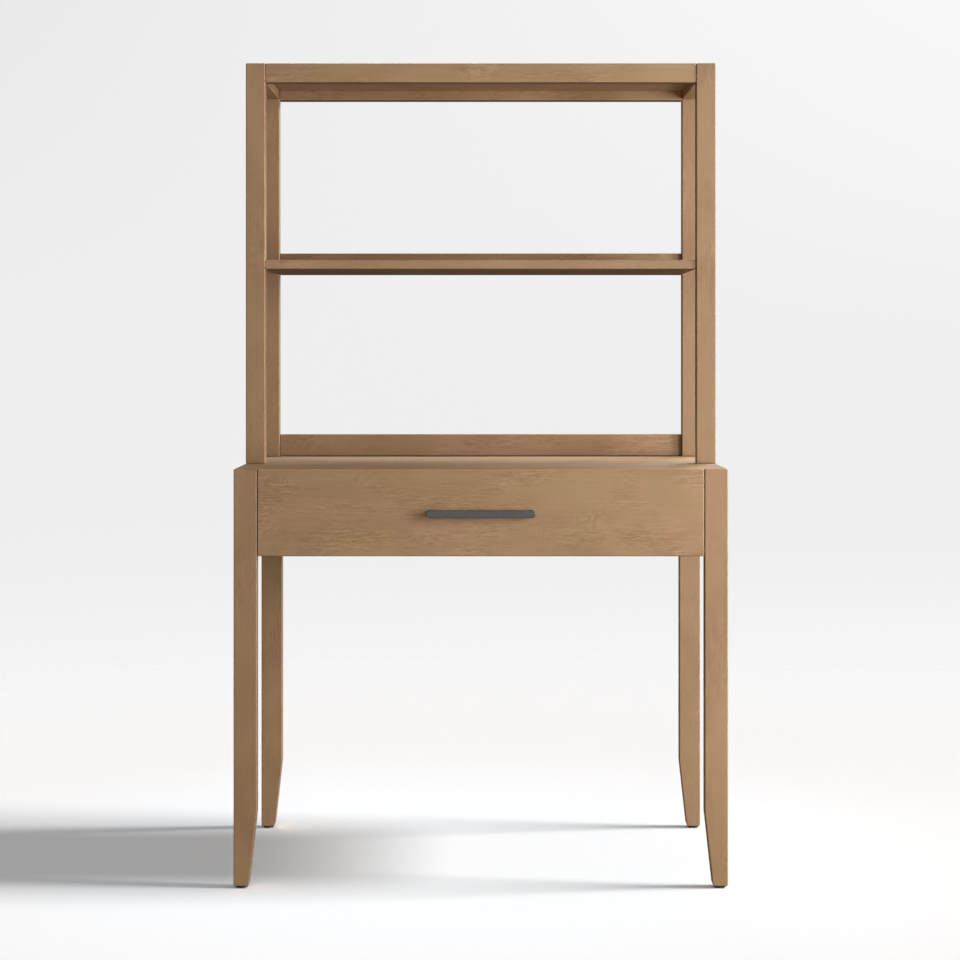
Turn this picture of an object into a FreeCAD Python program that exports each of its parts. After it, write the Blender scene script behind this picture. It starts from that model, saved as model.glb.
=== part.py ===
import FreeCAD, Part
import os

# Student desk with an open hutch, in millimetres: +X right, -Y front, +Z up.
# The origin is on the floor, under the middle of the box that holds the whole object.
# Right-hand pieces are modelled and the left-hand ones are their mirror images.

Vector = FreeCAD.Vector

# ---- driving dimensions: whole object
WIDTH = 914.4
BODY_DEPTH = 610.0
DESK_HEIGHT = 775.0
TOTAL_HEIGHT = 1554.0
EASE = 2.0
SMALL_EASE = 1.2

# ---- desk legs and feet
LEG_WIDTH = 43.0
LEG_DEPTH = 32.0
TAPER_HEIGHT = 137.0
TAPER_IN = 15.0
TAPER_BLEND = 60.0
INNER_FOOT_CORNER = 5.5
OUTER_FOOT_CORNER = 3.0
GLIDE_RADIUS = 11.0
GLIDE_HEIGHT = 4.2
GLIDE_ROUND = 1.2
NAIL_RADIUS = 1.4
NAIL_LENGTH = 18.0

# ---- desk top and aprons
TOP_THICKNESS = 20.0
APRON_THICKNESS = 20.0
BACK_RECESS = 2.0
STRETCHER_DEPTH = 40.0
STRETCHER_THICKNESS = 20.0
SLIDE_BLOCK_HEIGHT = 64.0
CORNER_BLOCK_REACH = 56.0
CORNER_BLOCK_HEIGHT = 36.0
CORNER_BLOCK_GAP = 3.0

# ---- drawer
DRAWER_FRONT_HEIGHT = 161.0
DRAWER_FRONT_THICKNESS = 20.0
DRAWER_SIDE_GAP = 1.0
DRAWER_TOP_EASE = 0.8
DRAWER_BACK_GAP = 2.0
BOX_BOARD = 15.0
BOX_LENGTH = 495.0
BOX_LOW = 634.0
BOX_HIGH = 732.0
BOTTOM_THICKNESS = 6.0
BOTTOM_RISE = 10.0
GROOVE_DEPTH = 6.0
TAIL_COUNT = 4
TAIL_ROOT = 12.0
TAIL_SPREAD = 2.5
BUMPER_RADIUS = 4.0
BUMPER_THICKNESS = 1.6

# ---- drawer pull
PULL_LENGTH = 201.4
PULL_HEIGHT = 14.0
PULL_PROJECTION = 29.0
PULL_THICKNESS = 6.0
PULL_POST_RADIUS = 6.4
PULL_EASE = 1.0
PULL_DROP = 81.5

# ---- ball-bearing slides, each half an inch thick
SLIDE_THICKNESS = 12.7
SLIDE_LENGTH = 450.0
SLIDE_SETBACK = 40.0
SLIDE_STEEL = 1.2
CAGE_STEEL = 0.6
CAGE_LENGTH = 200.0
CAGE_START = 125.0
RACE_GAP = 3.2
BALL_RADIUS = 1.55
BALLS_PER_ROW = 8

# ---- hutch
HUTCH_SETBACK = 237.0
POST_WIDTH = 37.6
POST_DEPTH = 32.0
TOP_RAIL_HEIGHT = 37.5
SIDE_RAIL_HEIGHT = 35.0
FRONT_RAIL_RECESS = 2.5
SIDE_RAIL_RECESS = 2.5
HUTCH_TOP_THICKNESS = 18.0
SHELF_LOW = 1153.5
SHELF_THICKNESS = 18.0
SHELF_RECESS = 5.0
STRIP_HEIGHT = 45.0
LOWER_STRIP_TOP = 820.4
STRIP_THICKNESS = 18.0
STRIP_GAP = 0.4

# ---- fasteners
DOWEL_RADIUS = 4.0
THIN_DOWEL_RADIUS = 3.0
DOWEL_HALF = 20.0
SHORT_DOWEL_HALF = 14.0
LOCATOR_HALF = 16.0
APRON_DOWEL_RISES = (34.0, 107.0)
STRETCHER_DOWEL_SETBACKS = (12.0, 28.0)
RAIL_DOWEL_DROPS = (28.0, 9.0)
SHELF_STRIP_DOWEL_RISES = (11.0, 32.0)
LOWER_STRIP_DOWEL_DROPS = (12.0, 32.0)
PANEL_DOWEL_MARGIN = 60.0
LENGTHWISE_DOWEL_X = (130.0, 300.0)
SCREW_POINT = 3.0
BRACKET_Y = (-140.0, 120.0)
BRACKET_X = (-200.0, 200.0)
BRACKET_LEGS = (24.0, 25.0)
BRACKET_HALF_WIDTH = 10.0
BRACKET_STEEL = 2.0
BRACKET_SCREW_REACHES = (13.0, 16.0)
BRACKET_SCREW_LENGTH = 15.0
SHORT_SCREW_LENGTH = 14.0
SLIDE_SCREW_MARGIN = 30.0
FRONT_SCREW_INSETS = (50.0, 210.0)
FRONT_SCREW_MARGINS = (28.0, 24.0)
CORNER_BOLT_REACHES = (12.0, 52.0)
CORNER_WASHER = (9.0, 1.5)
CORNER_NUT = (10.0, 5.0)
HUTCH_BOLT_HEAD = (5.0, 6.0)
HUTCH_BOLT_SOCKET = (5.0, 3.5)
HUTCH_BOLT_LENGTH = 58.0
HUTCH_BOLT_INSET = 12.0
PLATE_WIDTH = 22.0
PLATE_HEIGHT = 80.0
PLATE_THICKNESS = 2.0
PLATE_CORNER = 4.0
PLATE_SCREW_OFFSETS = (-32.0, -18.0, 18.0, 32.0)
BOLT_RADIUS = 3.0

# ---- places worked out from the driving dimensions
HALF = WIDTH / 2
LEG_INNER = HALF - LEG_WIDTH
APRON_INNER = HALF - APRON_THICKNESS
POST_INNER = HALF - POST_WIDTH
Y_FRONT = PULL_PROJECTION / 2 - BODY_DEPTH / 2
Y_BACK = Y_FRONT + BODY_DEPTH
LEG_BACK = Y_FRONT + LEG_DEPTH
REAR_LEG_FRONT = Y_BACK - LEG_DEPTH
TOP_UNDER = DESK_HEIGHT - TOP_THICKNESS
APRON_LOW = DESK_HEIGHT - DRAWER_FRONT_HEIGHT
BACK_APRON_BACK = Y_BACK - BACK_RECESS
BACK_APRON_FRONT = BACK_APRON_BACK - APRON_THICKNESS
FRONT_BACK = Y_FRONT + DRAWER_FRONT_THICKNESS
BOX_HALF = LEG_INNER - SLIDE_THICKNESS
BOX_INNER = BOX_HALF - BOX_BOARD
BOX_FRONT_BACK = FRONT_BACK + BOX_BOARD
BOX_BACK = FRONT_BACK + BOX_LENGTH
BOX_REAR_FRONT = BOX_BACK - BOX_BOARD
SLIDE_Z = (BOX_LOW + BOX_HIGH) / 2
SLIDE_Y = (Y_FRONT + SLIDE_SETBACK, Y_FRONT + SLIDE_SETBACK + SLIDE_LENGTH)
CAGE_Y = (SLIDE_Y[0] + CAGE_START, SLIDE_Y[0] + CAGE_START + CAGE_LENGTH)
PULL_Z = DESK_HEIGHT - PULL_DROP
PULL_END = PULL_LENGTH / 2 - PULL_HEIGHT / 2
HUTCH_FRONT = Y_FRONT + HUTCH_SETBACK
POST_BACK = HUTCH_FRONT + POST_DEPTH
REAR_POST_FRONT = Y_BACK - POST_DEPTH
RAIL_LOW = TOTAL_HEIGHT - TOP_RAIL_HEIGHT
SIDE_RAIL_LOW = TOTAL_HEIGHT - SIDE_RAIL_HEIGHT
HUTCH_TOP_LOW = TOTAL_HEIGHT - HUTCH_TOP_THICKNESS
STRIP_FRONT = Y_BACK - STRIP_THICKNESS

# ---- the nested channels of the right-hand slide: web face, lip face, half height, steel thickness
CABINET_CHANNEL = (LEG_INNER, LEG_INNER - 10.0, 22.5, SLIDE_STEEL)
OUTER_CAGE_CHANNEL = (LEG_INNER - 1.6, LEG_INNER - 8.7, 20.0, CAGE_STEEL)
MIDDLE_CHANNEL = (LEG_INNER - 2.6, LEG_INNER - 10.6, 18.1, SLIDE_STEEL)
INNER_CAGE_CHANNEL = (LEG_INNER - 4.2, LEG_INNER - 10.2, 15.6, CAGE_STEEL)
DRAWER_CHANNEL = (BOX_HALF, LEG_INNER - 5.2, 13.7, SLIDE_STEEL)
OUTER_BALL_X = LEG_INNER - 6.2
INNER_BALL_X = LEG_INNER - 7.7


# ---- shared shapes

def block(x, y, z):
    """Sharp box between the (low, high) pairs x, y and z."""
    return Part.makeBox(x[1] - x[0], y[1] - y[0], z[1] - z[0], Vector(x[0], y[0], z[0]))


def board(x, y, z, ease=EASE):
    """Wooden box between the (low, high) pairs x, y and z, with every edge eased."""
    solid = block(x, y, z)
    return solid.makeFillet(ease, solid.Edges)


def prism(points, direction):
    """Solid swept from the closed outline through the points along the direction."""
    outline = Part.makePolygon([Vector(*p) for p in points] + [Vector(*points[0])])
    return Part.Face(outline).extrude(Vector(*direction))


def cylinder(radius, start, end):
    """Round bar of that radius from start to end."""
    axis = Vector(*end) - Vector(*start)
    return Part.makeCylinder(radius, axis.Length, Vector(*start), axis)




def mirrored(shape):
    """The same piece on the other side of the middle plane."""
    return shape.mirror(Vector(0, 0, 0), Vector(1, 0, 0))


def both_sides(shapes):
    """The right-hand shapes and their left-hand mirror images."""
    return shapes + [mirrored(shape) for shape in shapes]


def drilled(shape, fasteners):
    """The piece with a hole for each fastener whose box meets it."""
    near = [f for f in fasteners if f.BoundBox.intersect(shape.BoundBox)]
    return shape.cut(near).Solids[0] if near else shape


def edges_at(shape, axis, value):
    """The shape's edges that lie in the plane where the named axis has that value."""
    low, high = axis + "Min", axis + "Max"
    flat = [e for e in shape.Edges if getattr(e.BoundBox, high) - getattr(e.BoundBox, low) < 0.01]
    return [e for e in flat if abs(getattr(e.BoundBox, low) - value) < 0.01]


def folded_block(x_fold, x_open, y, half_height, radius):
    """Box from x_fold to x_open, with its two edges along Y at x_fold rounded as sheet steel folds."""
    solid = block(sorted((x_fold, x_open)), y, (SLIDE_Z - half_height, SLIDE_Z + half_height))
    folds = [e for e in edges_at(solid, "X", x_fold) if e.BoundBox.YLength > e.BoundBox.ZLength]
    return solid.makeFillet(radius, folds)


def channel(sizes, y):
    """Right-hand U-shaped steel strip along Y: its web is at sizes[0] and its lips reach sizes[1]."""
    web, lip, half_height, steel = sizes
    inward = 1.0 if lip > web else -1.0
    outer = folded_block(web, lip, y, half_height, 1.5 * steel)
    hollow = folded_block(web + inward * steel, lip + inward, y, half_height - steel, 0.5 * steel)
    return outer.cut(hollow).Solids[0]


def placed(shape, point, tip):
    """A fastener modelled with its tip towards -Z, moved to point with its tip turned to tip."""
    turn = FreeCAD.Rotation(Vector(0, 0, -1), Vector(*tip))
    moved = shape.copy()
    moved.Placement = FreeCAD.Placement(Vector(*point), turn)
    return moved


# ---- fasteners, modelled at the origin with the tip towards -Z

def cross_recess(radius, depth):
    """Cutter for a cross-shaped drive, down from Z = 0."""
    half_slot = 0.45
    arm = block((-radius, radius), (-half_slot, half_slot), (-depth, 1.0))
    other = block((-half_slot, half_slot), (-radius, radius), (-depth, 1.0))
    return arm.fuse(other)


def flat_screw(length, shank=1.75, head=3.2, cone=1.9):
    """Countersunk screw whose flat head is level with Z = 0."""
    body = Part.makeCone(shank, head, cone, Vector(0, 0, -cone))
    body = body.fuse(Part.makeCylinder(shank, length - SCREW_POINT, Vector(0, 0, SCREW_POINT - length)))
    body = body.fuse(Part.makeCone(0.3, shank, SCREW_POINT, Vector(0, 0, -length)))
    return body.removeSplitter().cut(cross_recess(head * 0.6, 1.0)).Solids[0]


def pan_screw(length, shank=1.9, head=3.7, rise=2.2, pointed=True):
    """Pan-head screw whose head stands on Z = 0 and whose shank goes down from there."""
    top = Part.makeCylinder(head, rise)
    top = top.makeFillet(rise * 0.6, edges_at(top, "Z", rise))
    point = SCREW_POINT if pointed else 0.0
    body = top.fuse(Part.makeCylinder(shank, length - point, Vector(0, 0, point - length)))
    if pointed:
        body = body.fuse(Part.makeCone(0.3, shank, point, Vector(0, 0, -length)))
    slot = cross_recess(head * 0.55, 1.2)
    slot.translate(Vector(0, 0, rise))
    return body.removeSplitter().cut(slot).Solids[0]


def hexagon(across_flats, low, high):
    """Hexagonal prism about the Z axis between the heights low and high."""
    corner = Vector(across_flats / 3 ** 0.5, 0, low)
    turns = [FreeCAD.Rotation(Vector(0, 0, 1), 60 * i) for i in range(7)]
    outline = Part.makePolygon([turn.multVec(corner) for turn in turns])
    return Part.Face(outline).extrude(Vector(0, 0, high - low))


def wood_dowel(radius, half_length):
    """Dowel pin centred on the origin along Z, with chamfered ends."""
    pin = Part.makeCylinder(radius, 2 * half_length, Vector(0, 0, -half_length))
    ends = edges_at(pin, "Z", half_length) + edges_at(pin, "Z", -half_length)
    return pin.makeChamfer(1.0, ends)


def dowels(points, direction, radius=DOWEL_RADIUS, half_length=DOWEL_HALF):
    """One dowel pin centred on each point, along the direction."""
    pin = wood_dowel(radius, half_length)
    return [placed(pin, point, direction) for point in points]


# ---- desk fasteners, right-hand side

def right_desk_dowels():
    """Pins that join the right-hand ends of the aprons and the stretcher."""
    heights = [APRON_LOW + rise for rise in APRON_DOWEL_RISES]
    apron_x = (APRON_INNER + HALF) / 2
    pins = dowels([(apron_x, y, z) for y in (LEG_BACK, REAR_LEG_FRONT) for z in heights], (0, 1, 0))
    back_y = (BACK_APRON_FRONT + BACK_APRON_BACK) / 2
    pins += dowels([(LEG_INNER, back_y, z) for z in heights], (1, 0, 0))
    stretcher_z = TOP_UNDER - STRETCHER_THICKNESS / 2
    stretcher_x = APRON_INNER - 2.0
    pins += dowels([(stretcher_x, LEG_BACK + setback, stretcher_z) for setback in STRETCHER_DOWEL_SETBACKS],
                   (1, 0, 0), half_length=SHORT_DOWEL_HALF)
    return pins


def glide(y):
    """Nailed foot glide under the right-hand leg whose front face is at y."""
    x = HALF - (LEG_WIDTH - TAPER_IN) / 2
    y_middle = y + LEG_DEPTH / 2
    disc = cylinder(GLIDE_RADIUS, (x, y_middle, 0), (x, y_middle, GLIDE_HEIGHT))
    disc = disc.makeFillet(GLIDE_ROUND, edges_at(disc, "Z", 0))
    nail = cylinder(NAIL_RADIUS, (x, y_middle, GLIDE_HEIGHT - 1.0), (x, y_middle, GLIDE_HEIGHT + NAIL_LENGTH))
    return disc.fuse(nail).removeSplitter().Solids[0]


def corner_block():
    """Wooden block across the rear right corner, between side apron, leg and back apron."""
    z = TOP_UNDER - CORNER_BLOCK_GAP - CORNER_BLOCK_HEIGHT
    points = [
        (APRON_INNER, REAR_LEG_FRONT, z),
        (APRON_INNER, REAR_LEG_FRONT - CORNER_BLOCK_REACH, z),
        (LEG_INNER - CORNER_BLOCK_REACH, BACK_APRON_FRONT, z),
        (LEG_INNER, BACK_APRON_FRONT, z),
        (LEG_INNER, REAR_LEG_FRONT, z),
    ]
    return prism(points, (0, 0, CORNER_BLOCK_HEIGHT))


def corner_bolt():
    """Hanger bolt from the corner block into the leg, with its washer and nut, as separate solids."""
    low = Vector(APRON_INNER, REAR_LEG_FRONT - CORNER_BLOCK_REACH, 0)
    high = Vector(LEG_INNER - CORNER_BLOCK_REACH, BACK_APRON_FRONT, 0)
    middle = (low + high) * 0.5
    face = high - low
    inward = Vector(face.y, -face.x, 0).normalize()
    z = TOP_UNDER - CORNER_BLOCK_GAP - CORNER_BLOCK_HEIGHT / 2
    proud, sunk = CORNER_BOLT_REACHES
    washer_radius, washer_thickness = CORNER_WASHER
    across_flats, nut_height = CORNER_NUT
    rod = Part.makeCylinder(BOLT_RADIUS, proud + sunk, Vector(0, 0, -sunk))
    washer = Part.makeCylinder(washer_radius, washer_thickness).cut(rod)
    nut = hexagon(across_flats, washer_thickness, washer_thickness + nut_height).cut(rod)
    point = (middle.x, middle.y, z)
    tip = (inward.x, inward.y, 0)
    return [placed(piece.Solids[0], point, tip) for piece in (rod, washer, nut)]


def turned_to(shape, point, degrees):
    """A copy turned about Z at the origin, then moved to point."""
    moved = shape.copy()
    moved.Placement = FreeCAD.Placement(Vector(*point), FreeCAD.Rotation(Vector(0, 0, 1), degrees))
    return moved


def bracket_places():
    """Corner point and turn of each angle bracket under the desk top."""
    places = []
    for y in BRACKET_Y:
        places.append(((APRON_INNER, y, TOP_UNDER), 0))
        places.append(((-APRON_INNER, y, TOP_UNDER), 180))
    for x in BRACKET_X:
        places.append(((x, BACK_APRON_FRONT, TOP_UNDER), 90))
    return places


def bracket_screws():
    """Two screws in each angle bracket: one up into the top and one into the apron."""
    along, down = BRACKET_SCREW_REACHES
    screw = pan_screw(BRACKET_SCREW_LENGTH)
    pair = [placed(screw, (-along, 0, -BRACKET_STEEL), (0, 0, 1)),
            placed(screw, (-BRACKET_STEEL, 0, -down), (1, 0, 0))]
    screws = []
    for point, degrees in bracket_places():
        for screw in pair:
            turn = FreeCAD.Placement(Vector(*point), FreeCAD.Rotation(Vector(0, 0, 1), degrees))
            moved = screw.copy()
            moved.Placement = turn.multiply(screw.Placement)
            screws.append(moved)
    return screws


def top_brackets(screws):
    """The steel angles between the aprons and the underside of the top, each one bent strip."""
    reach, drop = BRACKET_LEGS
    width = (-BRACKET_HALF_WIDTH, BRACKET_HALF_WIDTH)
    angle = block((-reach, 0), width, (-BRACKET_STEEL, 0))
    angle = angle.fuse(block((-BRACKET_STEEL, 0), width, (-drop, 0))).removeSplitter()
    corners = edges_at(angle, "X", -reach)
    angle = angle.makeFillet(4.0, [e for e in corners if e.BoundBox.ZLength > 1.0])
    return [drilled(turned_to(angle, point, degrees), screws) for point, degrees in bracket_places()]


def slide_screws(x, direction):
    """Three countersunk screws through a right-hand slide member at x."""
    screw = flat_screw(SHORT_SCREW_LENGTH)
    stations = (SLIDE_SCREW_MARGIN, SLIDE_LENGTH / 2, SLIDE_LENGTH - SLIDE_SCREW_MARGIN)
    return [placed(screw, (x, SLIDE_Y[0] + s, SLIDE_Z), (direction, 0, 0)) for s in stations]


# ---- desk pieces

def desk_leg(y, fasteners):
    """Right-hand leg from y backwards: square, with its foot tapered on the inner side."""
    foot = GLIDE_HEIGHT
    bend = foot + TAPER_HEIGHT
    points = [
        (HALF, y, foot),
        (HALF, y, DESK_HEIGHT),
        (LEG_INNER, y, DESK_HEIGHT),
        (LEG_INNER, y, bend),
        (LEG_INNER + TAPER_IN, y, foot),
    ]
    solid = prism(points, (0, LEG_DEPTH, 0))
    along = [e for e in solid.Edges if e.BoundBox.YLength > 1.0]
    solid = solid.makeFillet(TAPER_BLEND, [e for e in along if abs(e.BoundBox.ZMin - bend) < 0.01])
    for x, radius in ((LEG_INNER + TAPER_IN, INNER_FOOT_CORNER), (HALF, OUTER_FOOT_CORNER)):
        low = [e for e in solid.Edges if e.BoundBox.YLength > 1.0 and abs(e.BoundBox.ZMin - foot) < 0.01]
        solid = solid.makeFillet(radius, [e for e in low if abs(e.BoundBox.XMin - x) < 0.01])
    corners = [(HALF, DESK_HEIGHT), (LEG_INNER, DESK_HEIGHT)]
    along = [e for e in solid.Edges if e.BoundBox.YLength > 1.0
             and (round(e.BoundBox.XMin, 2), round(e.BoundBox.ZMin, 2)) in
             [(round(x, 2), round(z, 2)) for x, z in corners]]
    around = edges_at(solid, "Y", y) + edges_at(solid, "Y", y + LEG_DEPTH)
    return drilled(solid.makeFillet(EASE, along + around), fasteners)


def desk_top(fasteners):
    """Top panel notched round the four legs, with its front edge behind the drawer front."""
    front = FRONT_BACK + DRAWER_BACK_GAP
    right = [
        (LEG_INNER, front, TOP_UNDER),
        (LEG_INNER, LEG_BACK, TOP_UNDER),
        (HALF, LEG_BACK, TOP_UNDER),
        (HALF, REAR_LEG_FRONT, TOP_UNDER),
        (LEG_INNER, REAR_LEG_FRONT, TOP_UNDER),
        (LEG_INNER, Y_BACK, TOP_UNDER),
    ]
    left = [(-x, y, z) for x, y, z in reversed(right)]
    panel = prism(right + left, (0, 0, TOP_THICKNESS))
    panel = panel.makeFillet(SMALL_EASE, edges_at(panel, "Z", DESK_HEIGHT))
    return drilled(panel, fasteners)


def side_apron(fasteners):
    """Right apron between front and rear legs, level with their outer faces."""
    apron = board((APRON_INNER, HALF), (LEG_BACK, REAR_LEG_FRONT), (APRON_LOW, TOP_UNDER))
    return drilled(apron, fasteners)


def back_apron(fasteners):
    """Apron between the rear legs, a little in from their back faces."""
    apron = board((-LEG_INNER, LEG_INNER), (BACK_APRON_FRONT, BACK_APRON_BACK), (APRON_LOW, TOP_UNDER))
    return drilled(apron, fasteners)


def front_stretcher(fasteners):
    """Flat rail under the top, above the drawer box, from apron to apron."""
    stretcher = board((-APRON_INNER, APRON_INNER), (LEG_BACK, LEG_BACK + STRETCHER_DEPTH),
                      (TOP_UNDER - STRETCHER_THICKNESS, TOP_UNDER))
    return drilled(stretcher, fasteners)


def slide_block(fasteners):
    """Right packing block that brings the slide out to the inner faces of the legs."""
    half_height = SLIDE_BLOCK_HEIGHT / 2
    packing = board((LEG_INNER, APRON_INNER), (LEG_BACK, REAR_LEG_FRONT),
                    (SLIDE_Z - half_height, SLIDE_Z + half_height), SMALL_EASE)
    return drilled(packing, fasteners)


# ---- drawer

def tails(y_root, y_end):
    """Dovetail tails of the right drawer side between y_root and y_end, wider at y_end."""
    pitch = (BOX_HIGH - BOX_LOW) / TAIL_COUNT
    root = TAIL_ROOT / 2
    end = root + TAIL_SPREAD
    solids = []
    for i in range(TAIL_COUNT):
        z = BOX_LOW + pitch * (i + 0.5)
        points = [(BOX_INNER, y_root, z - root), (BOX_INNER, y_root, z + root),
                  (BOX_INNER, y_end, z + end), (BOX_INNER, y_end, z - end)]
        solids.append(prism(points, (BOX_BOARD, 0, 0)))
    return solids


def all_tails():
    """The tails at the front and back ends of both drawer sides."""
    return both_sides(tails(BOX_FRONT_BACK, FRONT_BACK) + tails(BOX_REAR_FRONT, BOX_BACK))


def drawer_bottom():
    """Thin panel that slides in grooves in the four drawer boards."""
    reach = BOX_INNER + GROOVE_DEPTH
    y = (BOX_FRONT_BACK - GROOVE_DEPTH, BOX_REAR_FRONT + GROOVE_DEPTH)
    z = BOX_LOW + BOTTOM_RISE
    return block((-reach, reach), y, (z, z + BOTTOM_THICKNESS))


def rounded_board(x, y, along):
    """Drawer board between the (low, high) pairs x and y, with the two long top edges eased."""
    solid = block(x, y, (BOX_LOW, BOX_HIGH))
    top_edges = edges_at(solid, "Z", BOX_HIGH)
    long_edges = [e for e in top_edges if getattr(e.BoundBox, along + "Length") > BOX_BOARD]
    return solid.makeFillet(EASE, long_edges)


def drawer_side(fasteners):
    """Right drawer side with dovetail tails at both ends and a groove for the bottom."""
    side = rounded_board((BOX_INNER, BOX_HALF), (BOX_FRONT_BACK, BOX_REAR_FRONT), "Y")
    side = side.fuse(tails(BOX_FRONT_BACK, FRONT_BACK) + tails(BOX_REAR_FRONT, BOX_BACK)).removeSplitter()
    return drilled(side.cut(drawer_bottom()).Solids[0], fasteners)


def drawer_cross_board(y, fasteners):
    """Drawer box front or back between y[0] and y[1], cut out for the tails and grooved."""
    cross = rounded_board((-BOX_HALF, BOX_HALF), y, "X")
    return drilled(cross.cut(all_tails() + [drawer_bottom()]).Solids[0], fasteners)


def drawer_front(fasteners):
    """Show front level with the front legs' faces and with the desk top, where its edge is eased less."""
    reach = LEG_INNER - DRAWER_SIDE_GAP
    front = block((-reach, reach), (Y_FRONT, FRONT_BACK), (APRON_LOW, DESK_HEIGHT))
    front = front.makeFillet(EASE, [e for e in front.Edges if e.BoundBox.ZMin < DESK_HEIGHT - EASE])
    front = front.makeFillet(DRAWER_TOP_EASE, edges_at(front, "Z", DESK_HEIGHT))
    return drilled(front, fasteners)


def drawer_bumpers():
    """Two rubber pads on the back of the drawer front, opposite the edge of the top."""
    z = DESK_HEIGHT - TOP_THICKNESS / 2
    pad = cylinder(BUMPER_RADIUS, (BOX_INNER, FRONT_BACK, z), (BOX_INNER, FRONT_BACK + BUMPER_THICKNESS, z))
    return both_sides([pad.makeFillet(0.6, edges_at(pad, "Y", FRONT_BACK + BUMPER_THICKNESS))])


def drawer_pull(fasteners):
    """Flat bar with half-round ends, in one piece with the two round posts that carry it."""
    y = Y_FRONT - PULL_PROJECTION
    radius = PULL_HEIGHT / 2
    top_left, top_right = Vector(-PULL_END, y, PULL_Z + radius), Vector(PULL_END, y, PULL_Z + radius)
    low_left, low_right = Vector(-PULL_END, y, PULL_Z - radius), Vector(PULL_END, y, PULL_Z - radius)
    outline = Part.Wire([
        Part.makeLine(top_left, top_right),
        Part.Arc(top_right, Vector(PULL_END + radius, y, PULL_Z), low_right).toShape(),
        Part.makeLine(low_right, low_left),
        Part.Arc(low_left, Vector(-PULL_END - radius, y, PULL_Z), top_left).toShape(),
    ])
    bar = Part.Face(outline).extrude(Vector(0, PULL_THICKNESS, 0))
    bar = bar.makeFillet(PULL_EASE, edges_at(bar, "Y", y) + edges_at(bar, "Y", y + PULL_THICKNESS))
    posts = [cylinder(PULL_POST_RADIUS, (x, y + PULL_THICKNESS / 2, PULL_Z), (x, Y_FRONT, PULL_Z))
             for x in (-PULL_END, PULL_END)]
    return drilled(bar.fuse(posts).removeSplitter().Solids[0], fasteners)


def pull_screws():
    """Machine screws from inside the drawer box into the two posts of the pull."""
    thread = 9.0
    length = BOX_BOARD + DRAWER_FRONT_THICKNESS + thread
    screw = pan_screw(length, shank=2.0, head=4.0, rise=2.6, pointed=False)
    return both_sides([placed(screw, (PULL_END, BOX_FRONT_BACK, PULL_Z), (0, -1, 0))])


def drawer_front_screws():
    """Wood screws from inside the drawer box into the drawer front."""
    screw = pan_screw(BOX_BOARD + 15.0)
    rise, drop = FRONT_SCREW_MARGINS
    return both_sides([placed(screw, (BOX_INNER - inset, BOX_FRONT_BACK, z), (0, -1, 0))
                       for inset in FRONT_SCREW_INSETS for z in (BOX_LOW + rise, BOX_HIGH - drop)])


# ---- slides

def ball_cage(sizes, ball_x, ball_z):
    """Right-hand ball retainer and its two rows of steel balls, as separate solids."""
    strip = channel(sizes, CAGE_Y)
    pitch = CAGE_LENGTH / BALLS_PER_ROW
    balls = []
    pockets = []
    for i in range(BALLS_PER_ROW):
        y = CAGE_Y[0] + pitch * (i + 0.5)
        low = SLIDE_Z - ball_z
        high = SLIDE_Z + ball_z
        pockets.append(cylinder(BALL_RADIUS + 0.1, (ball_x, y, low - 1.0), (ball_x, y, high + 1.0)))
        balls += [Part.makeSphere(BALL_RADIUS, Vector(ball_x, y, z)) for z in (low, high)]
    return [strip.cut(pockets).Solids[0]] + balls


# ---- hutch fasteners

def right_hutch_dowels():
    """Pins in the right-hand joints of the hutch frame."""
    heights = [TOTAL_HEIGHT - drop for drop in RAIL_DOWEL_DROPS]
    joint_x = POST_INNER - 6.0
    rail_y = (HUTCH_FRONT + POST_DEPTH / 2 + 1.0, REAR_POST_FRONT + POST_DEPTH / 2)
    pins = dowels([(joint_x, y, z) for y in rail_y for z in heights], (1, 0, 0))
    side_x = POST_INNER + 23.4
    pins += dowels([(side_x, y, z) for y in (POST_BACK, REAR_POST_FRONT) for z in heights], (0, 1, 0),
                   THIN_DOWEL_RADIUS, SHORT_DOWEL_HALF)
    shelf_z = SHELF_LOW + SHELF_THICKNESS / 2
    strip_y = (STRIP_FRONT + Y_BACK) / 2
    thin = [(POST_INNER, HUTCH_FRONT + POST_DEPTH / 2, shelf_z), (POST_INNER, REAR_POST_FRONT + 7.0, shelf_z)]
    thin += [(POST_INNER, strip_y, SHELF_LOW + rise) for rise in SHELF_STRIP_DOWEL_RISES]
    thin += [(POST_INNER, strip_y, LOWER_STRIP_TOP - drop) for drop in LOWER_STRIP_DOWEL_DROPS]
    panel_z = HUTCH_TOP_LOW + HUTCH_TOP_THICKNESS / 2
    panel_y = (POST_BACK + PANEL_DOWEL_MARGIN, REAR_POST_FRONT - PANEL_DOWEL_MARGIN)
    thin += [(POST_INNER, y, panel_z) for y in panel_y]
    pins += dowels(thin, (1, 0, 0), THIN_DOWEL_RADIUS, SHORT_DOWEL_HALF)
    lengthwise = [(x, y, panel_z) for x in LENGTHWISE_DOWEL_X for y in (POST_BACK, REAR_POST_FRONT)]
    lengthwise += [(x, STRIP_FRONT, shelf_z) for x in LENGTHWISE_DOWEL_X]
    return pins + dowels(lengthwise, (0, 1, 0), THIN_DOWEL_RADIUS, SHORT_DOWEL_HALF)


def locating_dowels():
    """Pins that set the four posts on the desk top and on the rear legs."""
    front = (HALF - 11.0, HUTCH_FRONT + POST_DEPTH / 2, DESK_HEIGHT + 3.0)
    rear = (HALF - POST_WIDTH / 2, REAR_POST_FRONT + 10.0, DESK_HEIGHT)
    return both_sides(dowels([front, rear], (0, 0, 1), half_length=LOCATOR_HALF))


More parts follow.
